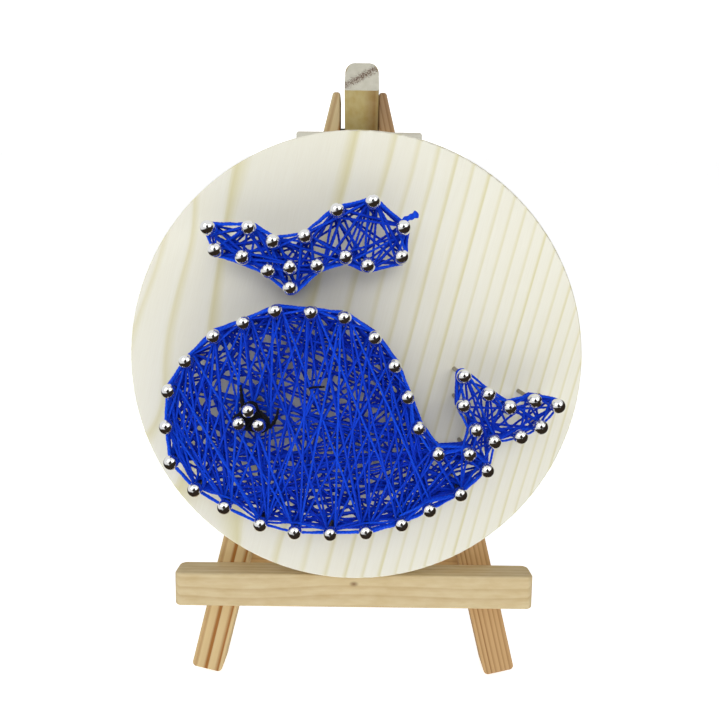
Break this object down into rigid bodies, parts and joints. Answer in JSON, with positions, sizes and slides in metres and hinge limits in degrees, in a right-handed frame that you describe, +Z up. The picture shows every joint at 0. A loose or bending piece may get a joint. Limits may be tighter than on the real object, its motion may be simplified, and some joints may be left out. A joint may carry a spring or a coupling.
{
  "type": "string art picture on easel",
  "caption": "Round wooden board with a nail-and-thread whale under a cloud, resting on the ledge of a folding tripod tabletop easel.",
  "frame": {"origin": "middle of the base of the whole object, on the surface it stands on", "axes": "+Z up, the picture facing -Y and leaning back, +X to the viewer's right"},
  "size_m": [0.15, 0.1528, 0.2133],
  "materials": {
    "leg_wood": "sanded bare pine",
    "rail_wood": "sanded bare pine",
    "board_wood": "sanded bare pale pine",
    "nail": "polished ball head",
    "steel": "plain",
    "blue_thread": "twisted thread",
    "black_thread": "twisted thread"
  },
  "bodies": {
    "easel": {"front_leg_left": "leg_wood", "front_leg_right": "leg_wood", "crossbar": "rail_wood", "ledge": "rail_wood", "rear_rail": "rail_wood", "hinge_pin": "steel", "crossbar_brads": "steel", "ledge_brads": "steel", "rail_brads": "steel"},
    "rear_leg": {"rear_leg": "leg_wood"},
    "picture": {"picture_disc": "board_wood", "cloud_nails": "nail", "body_nails": "nail", "tail_nails": "nail", "eye_nails": "nail", "cloud_thread": "blue_thread", "body_thread": "blue_thread", "tail_thread": "blue_thread", "eye_thread": "black_thread", "thread_knot": "blue_thread"}
  },
  "joints": [
    {"name": "rear_leg_fold", "type": "hinge", "parent": "easel", "child": "rear_leg", "pos_m": [0, -0.00304, 0.19125], "axis": [-1, 0, 0], "range_deg": [0, 30]},
    {"name": "picture_lift", "type": "slide", "parent": "easel", "child": "picture", "axis": [0, -0.7071, 0.7071], "range_m": [0, 0.1]}
  ]
}
